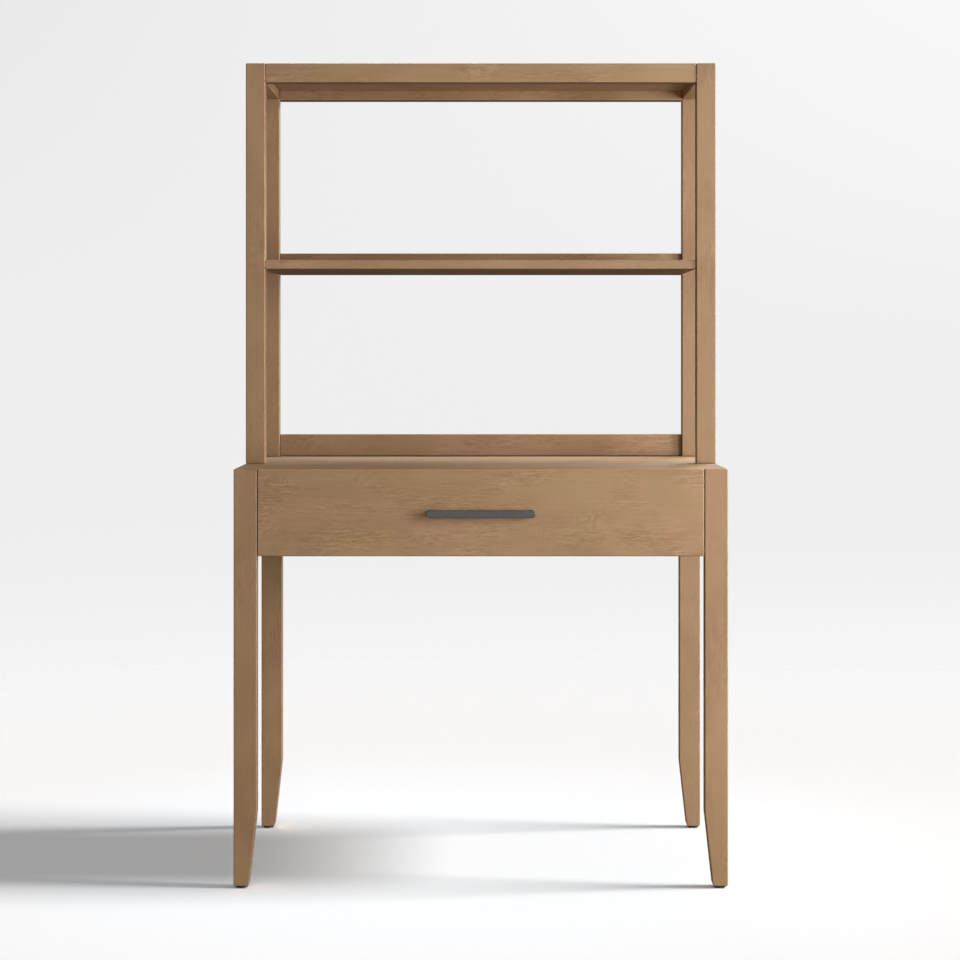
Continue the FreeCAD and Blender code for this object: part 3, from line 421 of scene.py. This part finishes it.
def joined_surface(tree, skin, colour, bump, shine):
    """Joins a surface of this colour to the material's output. Its roughness and its relief, so many metres
    deep, come from the node group skin, and shine sets its other inputs."""
    relief = node(tree, "ShaderNodeBump", {"Strength": 1.0, "Distance": bump,
                  "Height": skin.outputs["Height"]})
    surface = node(tree, "ShaderNodeBsdfPrincipled", {"Base Color": colour,
                   "Roughness": skin.outputs["Roughness"], "Normal": relief.outputs[0], **shine})
    node(tree, "ShaderNodeOutputMaterial", {"Surface": surface.outputs[0]})


def dress(name, material):
    """Gives a CAD node's slots the material."""
    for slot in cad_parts[name].material_slots:
        slot.material = material


def wooden(name, along, heart, slice_number, finish, lacquer, edge_width=0.002, bump=0.00003,
           underside=1.0):
    """Gives a board its own material: along is the axis its grain follows, heart the offset (y, z) of its
    middle from the heart of its log, each slice number is a new stretch of the log, and lacquer is the weight
    of its clear coat. The spray hardly reaches an underside. There the colour is also scaled by underside:
    painted shade below 1 and painted light above 1, for how little or how much light reaches it. Both come
    on with the downward turn of the surface."""
    low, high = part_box(name)
    x, y, z = (low + high) / 2
    middle = {"x": (x, y, z), "y": (y, -x, z), "z": (z, y, -x)}[along]
    cut = (SLICE_LENGTH * slice_number - middle[0], heart[0] - middle[1], heart[1] - middle[2])
    material, tree = new_material("wood_" + name)
    place = node(tree, "ShaderNodeTexCoord")
    in_log = node(tree, "ShaderNodeMapping", {"Vector": place.outputs["Object"], "Rotation": LOG_TURN[along],
                  "Location": cut})
    facing = node(tree, "ShaderNodeMapping", {"Vector": place.outputs["Normal"], "Rotation": LOG_TURN[along]},
                  vector_type="VECTOR")
    worn = box_edges(tree, place, name, edge_width)
    grain = node(tree, "ShaderNodeGroup", {"Vector": in_log.outputs[0], "Facing": facing.outputs[0],
                 "Worn": worn, **finish}, node_tree=WOOD_GRAIN)
    upward = node(tree, "ShaderNodeSeparateXYZ", {0: place.outputs["Normal"]}).outputs[2]
    coat = spread(tree, upward, *UNDERSIDE_SPRAY, UNDERSIDE_LACQUER * lacquer, lacquer)
    # Painted shade (below 1) and painted light (above 1) on an underside: the colour is scaled as the surface
    # turns down.
    painted_light_and_shade = spread(tree, upward, *UNDERSIDE_SHADE, underside, 1.0)
    colour = node(tree, "ShaderNodeVectorMath", {0: grain.outputs["Color"], "Scale": painted_light_and_shade},
                  operation="SCALE")
    shine = {"Specular IOR Level": 0.06, "Coat Weight": coat, "Coat Roughness": 0.42}
    joined_surface(tree, grain, colour.outputs[0], bump, shine)
    dress(name, material)


def stained(name, along, heart, slice_number, tone=1.0, figure=LIVELY, underside=1.0):
    """Stained and lacquered board, its colour a little darker or paler by its tone. The tone is partly the
    board's own and partly painted light and shade that evens out how the lamps fall on it.
    """
    pale, dark = ((*(tone * part for part in colour), 1) for colour in (STAIN_PALE, STAIN_DARK))
    finish = {**figure, "Pale": pale, "Dark": dark}
    wooden(name, along, heart, slice_number, finish, LACQUER, underside=underside)


stained("front_left_leg", "z", (0.050, 0.070), 1, tone=0.93, figure=CALM)
stained("front_right_leg", "z", (0.070, 0.055), 2, figure=CALM)
stained("rear_left_leg", "z", (0.090, 0.040), 3, tone=1.05, figure=CALM)
stained("rear_right_leg", "z", (0.110, 0.025), 4, figure=CALM)


# ---- foot glides -----------------------------------------------------------------------------
# Black moulded nylon discs, each with its own nail, driven up into the end grain of a foot. Their
# undersides are scuffed by the floor.

def speckled_group():
    """Fine even grain of a moulded or sprayed surface, with slow clouds of wear that make it paler and
    duller."""
    group = bpy.data.node_groups.new("speckled", "ShaderNodeTree")
    given = named_sockets(group, (
        ("Vector", "Vector", None), ("Base", "Color", (0.1, 0.1, 0.1, 1)),
        ("Rubbed", "Color", (0.2, 0.2, 0.2, 1)), ("Grain", "Float", 1500.0), ("Roughness", "Float", 0.5),
        ("Wear", "Float", 0.3)),
        (("Color", "Color"), ("Roughness", "Float"), ("Height", "Float")))
    fine = node(group, "ShaderNodeTexNoise", {"Vector": given["Vector"], "Scale": given["Grain"],
                "Detail": 2.0})
    clouds = stretched_noise(group, given["Vector"], (45.0, 45.0, 45.0), detail=4.0, roughness=0.6)
    wear = math_of(group, "MULTIPLY", spread(group, clouds.outputs[0], 0.45, 0.7), given["Wear"])
    speck = spread(group, fine.outputs[0], 0.35, 0.65)
    speck = math_of(group, "MULTIPLY_ADD", speck, 0.12, wear, clamp=True)
    colour = colour_mix(group, speck, given["Base"], given["Rubbed"])
    rough = math_of(group, "MULTIPLY_ADD", wear, 0.2, given["Roughness"])
    rough = math_of(group, "MULTIPLY_ADD", fine.outputs[0], 0.08, rough)
    node(group, "NodeGroupOutput", {"Color": colour, "Roughness": rough, "Height": fine.outputs[0]})
    return group


SPECKLED = speckled_group()
RUBBED_EDGE_WIDTH = 0.0011
RUBBED_EDGE = 0.6


def speckled(name, base, rubbed, grain, roughness, wear, bump, metallic=0.0, worn_node=None):
    """Sprayed, moulded or rubbery material. With worn_node, its colour also wears off along that node's
    edges."""
    material, tree = new_material(name)
    place = node(tree, "ShaderNodeTexCoord")
    skin = node(tree, "ShaderNodeGroup", {"Vector": place.outputs["Object"], "Base": base,
                "Rubbed": rubbed, "Grain": grain, "Roughness": roughness, "Wear": wear},
                node_tree=SPECKLED)
    colour = skin.outputs["Color"]
    if worn_node:
        worn = box_edges(tree, place, worn_node, RUBBED_EDGE_WIDTH)
        colour = colour_mix(tree, math_of(tree, "MULTIPLY", worn, RUBBED_EDGE), colour, rubbed)
    joined_surface(tree, skin, colour, bump, {"Metallic": metallic})
    return material


black_nylon = speckled("black_nylon", (0.016, 0.016, 0.017, 1), (0.075, 0.075, 0.072, 1), grain=1400.0,
                       roughness=0.42, wear=0.5, bump=0.00003)
for name in ("front_left_glide", "front_right_glide", "rear_left_glide", "rear_right_glide"):
    dress(name, black_nylon)


# ---- aprons and stretcher --------------------------------------------------------------------
# Stained boards dowelled between the legs: one on each side, one at the back, and a flat rail above
# the drawer that ties the front legs together.

stained("left_apron", "y", (0.080, 0.020), 11)
stained("right_apron", "y", (0.080, 0.030), 12)
stained("back_apron", "x", (0.075, 0.010), 13)
stained("front_stretcher", "x", (0.060, 0.050), 14)


# ---- packing and corner blocks ---------------------------------------------------------------
# Bare planed softwood where nobody looks: packing that brings the drawer slides out level with the
# legs, and a block across each rear corner that its hanger bolt pulls tight.

SOFTWOOD = {"Pale": (0.70, 0.51, 0.30, 1), "Dark": (0.44, 0.25, 0.11, 1), "Ring Width": 0.0034, "Rings": 0.75,
            "Knots": 0.5, "Fibres": 0.16, "Dashes": 0.05, "Flecks": 0.0, "Curl": 0.0, "Blotches": 0.25}
for number, name in enumerate(("left_slide_block", "right_slide_block")):
    wooden(name, "y", (0.045, 0.030), 15 + number, SOFTWOOD, lacquer=0.0, edge_width=0.0015, bump=0.0001)
for number, name in enumerate(("rear_left_corner_block", "rear_right_corner_block")):
    wooden(name, "x", (0.060, 0.020), 17 + number, SOFTWOOD, lacquer=0.0, edge_width=0.0015, bump=0.0001)


# ---- dowels ----------------------------------------------------------------------------------
# Bare beech pins with chamfered ends. They lie out of sight in the joints of the desk and hutch.

BEECH = {"Pale": (0.66, 0.46, 0.29, 1), "Dark": (0.46, 0.28, 0.15, 1), "Ring Width": 0.003, "Rings": 0.25,
         "Knots": 0.0, "Fibres": 0.3, "Dashes": 0.1, "Flecks": 0.8, "Curl": 0.0, "Blotches": 0.2}
for number, name in enumerate(("desk_dowels", "hutch_dowels", "locating_dowels")):
    wooden(name, "x", (0.070, 0.030), 19 + number, BEECH, lacquer=0.0, edge_width=0.0005)


# ---- screws, bolts and brackets --------------------------------------------------------------
# Zinc-plated steel hardware: bright turned screws and bolts, and duller stamped plate for the
# angles under the top and for the two straps that tie the hutch to the rear legs.

def plated_group():
    """Zinc plate on steel: crystals of slightly different grey, fine rolling lines along y, and a grainy
    haze."""
    group = bpy.data.node_groups.new("plated", "ShaderNodeTree")
    given = named_sockets(group, (
        ("Vector", "Vector", None), ("Pale", "Color", (0.7, 0.7, 0.7, 1)),
        ("Dark", "Color", (0.5, 0.5, 0.5, 1)), ("Crystals", "Float", 250.0), ("Lines", "Float", 0.3),
        ("Roughness", "Float", 0.3)),
        (("Color", "Color"), ("Roughness", "Float"), ("Height", "Float")))
    cells = node(group, "ShaderNodeTexVoronoi", {"Vector": given["Vector"], "Scale": given["Crystals"]})
    cell = node(group, "ShaderNodeSeparateXYZ", {0: cells.outputs["Color"]}).outputs[0]
    rolled = stretched_noise(group, given["Vector"], (1400.0, 9.0, 1400.0), roughness=0.6).outputs[0]
    haze = stretched_noise(group, given["Vector"], (60.0, 60.0, 60.0), detail=4.0, roughness=0.6).outputs[0]
    line = math_of(group, "MULTIPLY", math_of(group, "SUBTRACT", rolled, 0.5), given["Lines"])
    tone = math_of(group, "MULTIPLY_ADD", cell, 0.35, spread(group, haze, 0.3, 0.7, 0.0, 0.5))
    tone = math_of(group, "ADD", tone, line, clamp=True)
    colour = colour_mix(group, tone, given["Pale"], given["Dark"])
    rough = math_of(group, "MULTIPLY_ADD", haze, 0.22, given["Roughness"])
    rough = math_of(group, "ADD", rough, math_of(group, "MULTIPLY", line, 0.5))
    node(group, "NodeGroupOutput", {"Color": colour, "Roughness": rough, "Height": rolled})
    return group


PLATED = plated_group()


def plated(name, pale, dark, crystals, lines, roughness, bump):
    """Zinc-plated steel."""
    material, tree = new_material(name)
    place = node(tree, "ShaderNodeTexCoord")
    skin = node(tree, "ShaderNodeGroup", {"Vector": place.outputs["Object"], "Pale": pale, "Dark": dark,
                "Crystals": crystals, "Lines": lines, "Roughness": roughness}, node_tree=PLATED)
    joined_surface(tree, skin, skin.outputs["Color"], bump, {"Metallic": 1.0})
    return material


bright_zinc = plated("bright_zinc", (0.63, 0.63, 0.64, 1), (0.42, 0.42, 0.43, 1), crystals=900.0, lines=0.1,
                     roughness=0.20, bump=0.000004)
dull_zinc = plated("dull_zinc", (0.60, 0.61, 0.62, 1), (0.38, 0.39, 0.40, 1), crystals=260.0, lines=0.25,
                   roughness=0.34, bump=0.00001)
for name in ("corner_bolts", "top_bracket_screws", "cabinet_slide_screws", "hutch_bolts", "tie_plate_screws"):
    dress(name, bright_zinc)
for name in ("top_brackets", "tie_plates"):
    dress(name, dull_zinc)


# ---- desk top --------------------------------------------------------------------------------
# One wide panel, notched round the legs, stained and lacquered like the rest, with its grain from side to
# side. Angle brackets hold it down from below.

stained("desk_top", "x", (0.020, 0.110), 24, tone=0.97)


# ---- drawer box ------------------------------------------------------------------------------
# Four boards of solid birch, dovetailed at the corners and clear-finished, round a thin plywood
# bottom that slides in grooves. Two rubber pads stop the front softly against the desk top's edge.

BIRCH = {"Pale": (0.52, 0.39, 0.26, 1), "Dark": (0.37, 0.26, 0.155, 1), "Ring Width": 0.005, "Rings": 0.30,
         "Knots": 0.4, "Fibres": 0.18, "Dashes": 0.14, "Flecks": 0.25, "Curl": 0.16, "Blotches": 0.35}
PLY = {**BIRCH, "Pale": (0.56, 0.42, 0.28, 1), "Dark": (0.40, 0.28, 0.165, 1), "Ring Width": 0.011,
       "Rings": 0.42}
CLEAR_COAT = 0.35
BOX_BOARDS = (("drawer_left_side", "y"), ("drawer_right_side", "y"), ("drawer_box_front", "x"),
              ("drawer_box_back", "x"))
for number, (name, along) in enumerate(BOX_BOARDS):
    wooden(name, along, (0.055 + 0.01 * number, 0.020), 31 + number, BIRCH, CLEAR_COAT)
wooden("drawer_bottom", "x", (0.030, 0.140), 35, PLY, CLEAR_COAT, edge_width=0.0)
for name in ("drawer_front_screws", "drawer_slide_screws", "pull_screws"):
    dress(name, bright_zinc)
grey_rubber = speckled("grey_rubber", (0.52, 0.52, 0.50, 1), (0.40, 0.39, 0.36, 1), grain=900.0,
                       roughness=0.48, wear=0.4, bump=0.00002)
dress("drawer_bumpers", grey_rubber)


# ---- drawer front ----------------------------------------------------------------------------
# The show front: a stained board level with the legs' faces, screwed to the box from inside, with
# its grain from side to side.

# Its underside, along the bottom edge, is darkened with painted shade.
stained("drawer_front", "x", (0.075, 0.077), 41, tone=0.98, underside=UNDERSIDE_PAINTED_SHADE)


# ---- drawer pull -----------------------------------------------------------------------------
# A flat steel bar with round ends on two round posts, finished in a satin gunmetal. The finish is a
# little thin and paler along the edges.

gunmetal = speckled("gunmetal", (0.064, 0.067, 0.071, 1), (0.120, 0.124, 0.131, 1), grain=1900.0,
                    roughness=0.36, wear=0.25, bump=0.00001, metallic=0.85, worn_node="drawer_pull")
dress("drawer_pull", gunmetal)


# ---- drawer slides ---------------------------------------------------------------------------
# Full-extension ball-bearing slides, rolled from zinc-plated strip: a member on the desk, one on the
# drawer, one between them, and two cages of steel balls on each side.

SLIDE_LOW, SLIDE_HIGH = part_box("right_slide_cabinet_member")
SLIDE_SEAT = SLIDE_HIGH.x
SLIDE_LENGTH = SLIDE_HIGH.y - SLIDE_LOW.y
SLIDE_MIDDLE = (SLIDE_LOW.z + SLIDE_HIGH.z) / 2
SLIDE_STEEL = 0.0012
EDGE_ROUNDING = 0.0002

# Arcs of the rolled edges: how far the centre lies in from the seat and above the middle, the radius, and the
# angles where the arc starts and ends.
RACES = {
    "cabinet": ((0.0023, 0.0202, 0.0017, 180, 90), (0.0062, 0.0196, 0.0023, 90, 26)),
    "middle": ((0.0048, 0.0162, 0.0016, 180, 60), (0.0062, 0.0187, 0.0012, 240, 270),
               (0.0077, 0.0152, 0.0023, 90, 26)),
    "drawer": ((0.0099, 0.0118, 0.0022, 0, 90), (0.0077, 0.0154, 0.0023, 316, 225))}
ARC_POINTS = 5

# Holes in the webs: where one starts along the slide, and how far it is drawn out into a slot.
HOLE_TIP = 0.0022
HOLE_SHOULDER = HOLE_TIP * math.sqrt(0.5)
SCREW_HOLES = ((0.030, 0.0), (0.225, 0.0), (0.420, 0.0))
HOLES = {
    "cabinet": ((0.060, 0.022), (0.110, 0.0), (0.160, 0.022), (0.270, 0.022), (0.330, 0.0), (0.370, 0.022),
                *SCREW_HOLES),
    "middle": ((0.020, 0.0), (0.050, 0.030), (0.130, 0.030), (0.225, 0.0), (0.290, 0.030), (0.370, 0.030),
               (0.430, 0.0)),
    "drawer": ((0.012, 0.0), (0.062, 0.022), (0.115, 0.0), (0.165, 0.022), (0.262, 0.022), (0.320, 0.0),
               (0.368, 0.022), *SCREW_HOLES)}


def rolled_edge(member):
    """Points (x, z) from the flat web of a right-hand member to the edge of its upper ball race: those of its
    arcs, one after another, with straight stretches between."""
    arcs = []
    for inward, up, radius, start, end in RACES[member]:
        angle = np.radians(np.linspace(start, end, ARC_POINTS))
        x, z = SLIDE_SEAT - inward - radius * np.cos(angle), up + radius * np.sin(angle)
        arcs.append(np.stack([x, z], -1))
    return np.concatenate(arcs)


def pierced_faces(stations, heights, starts, ends):
    """Faces of a strip with points at these stations along it and heights across it, with holes from each
    start to its end at height 0. A hole's outline is an octagon drawn out along the strip: the tips reach out
    from the start, the end and the middle height, and the shoulders lie between them. A cell is so many steps
    out from the hole's middle, along and across: up to one it is left out, at two it keeps the triangle
    outside the octagon, and from three it is whole."""
    along = (stations[:-1] + stations[1:]) / 2
    across = (heights[:-1] + heights[1:]) / 2
    beyond = np.maximum(starts - along[:, None], along[:, None] - ends)
    steps_along = np.digitize(beyond.min(1), (0, HOLE_SHOULDER, HOLE_TIP))
    steps_across = np.select([abs(across) < HOLE_SHOULDER, abs(across) < HOLE_TIP], [0, 1], 3)
    steps = steps_along[:, None] + steps_across
    index = np.arange(len(stations) * len(heights)).reshape(len(stations), len(heights))
    cells = np.stack([index[:-1, :-1], index[:-1, 1:], index[1:, 1:], index[1:, :-1]], -1)
    before = (along < starts[beyond.argmin(1)])[:, None]
    corner_in_hole = np.where(across > 0, np.where(before, 3, 0), np.where(before, 2, 1))
    kept = np.arange(4) != corner_in_hole[..., None]
    triangles = cells[steps == 2][kept[steps == 2]].reshape(-1, 3)
    return cells[steps > 2].tolist() + triangles.tolist()


def slide_member(side, member):
    """Rolled steel strip: one section, from the edge of the lower ball race over the flat web to the edge of
    the upper one, carried along y. The lower race mirrors the upper, and the left-hand members mirror the
    right-hand ones."""
    upper = rolled_edge(member)
    web = np.array([(upper[0, 0], z) for z in (-HOLE_TIP, -HOLE_SHOULDER, 0.0, HOLE_SHOULDER, HOLE_TIP)])
    section = np.concatenate([upper[::-1] * (1, -1), web, upper])
    starts, lengths = np.array(HOLES[member]).T
    ends = starts + lengths
    stations = np.unique(np.concatenate([
        (0.0, SLIDE_LENGTH), starts - HOLE_TIP, starts - HOLE_SHOULDER, starts,
        ends, ends + HOLE_SHOULDER, ends + HOLE_TIP]))
    mirror = {"left": -1, "right": 1}[side]
    points = np.zeros((len(stations), len(section), 3))
    points[..., 0] = mirror * section[:, 0]
    points[..., 1] = SLIDE_LOW.y + stations[:, None]
    points[..., 2] = SLIDE_MIDDLE + section[:, 1]
    faces = pierced_faces(stations, section[:, 1], starts, ends)
    mesh = bpy.data.meshes.new(side + "_" + member + "_slide")
    mesh.from_pydata(points.reshape(-1, 3).tolist(), [], faces)
    mesh.polygons.foreach_set("use_smooth", np.ones(len(mesh.polygons), bool))
    mesh.materials.append(slide_zinc)
    piece = bpy.data.objects.new(mesh.name, mesh)
    bpy.context.collection.objects.link(piece)
    sheet = piece.modifiers.new("steel", "SOLIDIFY")
    sheet.thickness = SLIDE_STEEL
    sheet.offset = 0.0
    sheet.use_even_offset = True
    edges = piece.modifiers.new("edges", "BEVEL")
    edges.width = EDGE_ROUNDING
    edges.segments = 2
    edges.limit_method = "ANGLE"
    edges.angle_limit = math.radians(50)
    edges.harden_normals = True
    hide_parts(side + "_slide_" + member + "_member")
    return piece


slide_zinc = plated("slide_zinc", (0.66, 0.67, 0.69, 1), (0.48, 0.49, 0.51, 1), crystals=500.0, lines=0.5,
                    roughness=0.30, bump=0.000008)
ball_steel = plated("ball_steel", (0.68, 0.68, 0.68, 1), (0.52, 0.52, 0.53, 1), crystals=700.0, lines=0.1,
                    roughness=0.10, bump=0.0)
for side in ("left", "right"):
    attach(slide_member(side, "cabinet"), "root")
    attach(slide_member(side, "middle"), side + "_slide_middle")
    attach(slide_member(side, "drawer"), "drawer")
    for cage in ("outer", "inner"):
        dress(side + "_" + cage + "_ball_cage", ball_steel)


# ---- hutch posts -----------------------------------------------------------------------------
# Four square-cut posts of the same stained wood, located on the desk by dowels. Bolts from below hold the
# front ones. The rear ones stand on the rear legs, tied to them by steel plates.

# Each post's tone is partly its own wood and partly painted light and shade that evens out how the lamps fall
# on it.
stained("front_left_post", "z", (0.060, 0.050), 51, figure=CALM)
stained("front_right_post", "z", (0.075, 0.035), 52, tone=0.93, figure=CALM)
stained("rear_left_post", "z", (0.090, 0.065), 53, tone=1.02, figure=CALM)
stained("rear_right_post", "z", (0.055, 0.080), 54, tone=0.90, figure=CALM)


# ---- top rails and panel ---------------------------------------------------------------------
# Four stained rails dowelled to the posts, with a thinner panel let in between them. The panel's
# underside lies higher than the rails'.

# The front and rear rails get painted shade underneath; the side rails and the panel get painted light there.
stained("top_front_rail", "x", (0.070, 0.020), 55, tone=1.01, underside=UNDERSIDE_PAINTED_SHADE)
stained("top_rear_rail", "x", (0.085, 0.030), 56, tone=0.92, underside=UNDERSIDE_PAINTED_SHADE)
stained("top_left_rail", "y", (0.060, 0.045), 57, underside=UNDERSIDE_PAINTED_LIGHT)
stained("top_right_rail", "y", (0.065, 0.055), 58, underside=UNDERSIDE_PAINTED_LIGHT)
stained("hutch_top_panel", "x", (0.030, 0.120), 59, tone=0.94, underside=UNDERSIDE_PAINTED_LIGHT)


# ---- shelf and back strips -------------------------------------------------------------------
# A stained shelf between the posts with a raised strip behind it, and a second strip along the back
# of the desk top, that keep things from falling off.

# The shelf and both strips get painted shade underneath.
stained("hutch_shelf", "x", (0.025, 0.090), 61, tone=0.98, underside=UNDERSIDE_PAINTED_SHADE)
stained("shelf_back_strip", "x", (0.080, 0.015), 62, tone=0.90, underside=UNDERSIDE_PAINTED_SHADE)
stained("lower_back_strip", "x", (0.065, 0.025), 63, tone=0.96, underside=UNDERSIDE_PAINTED_SHADE)


# ---- sizes -----------------------------------------------------------------------------------
low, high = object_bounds()
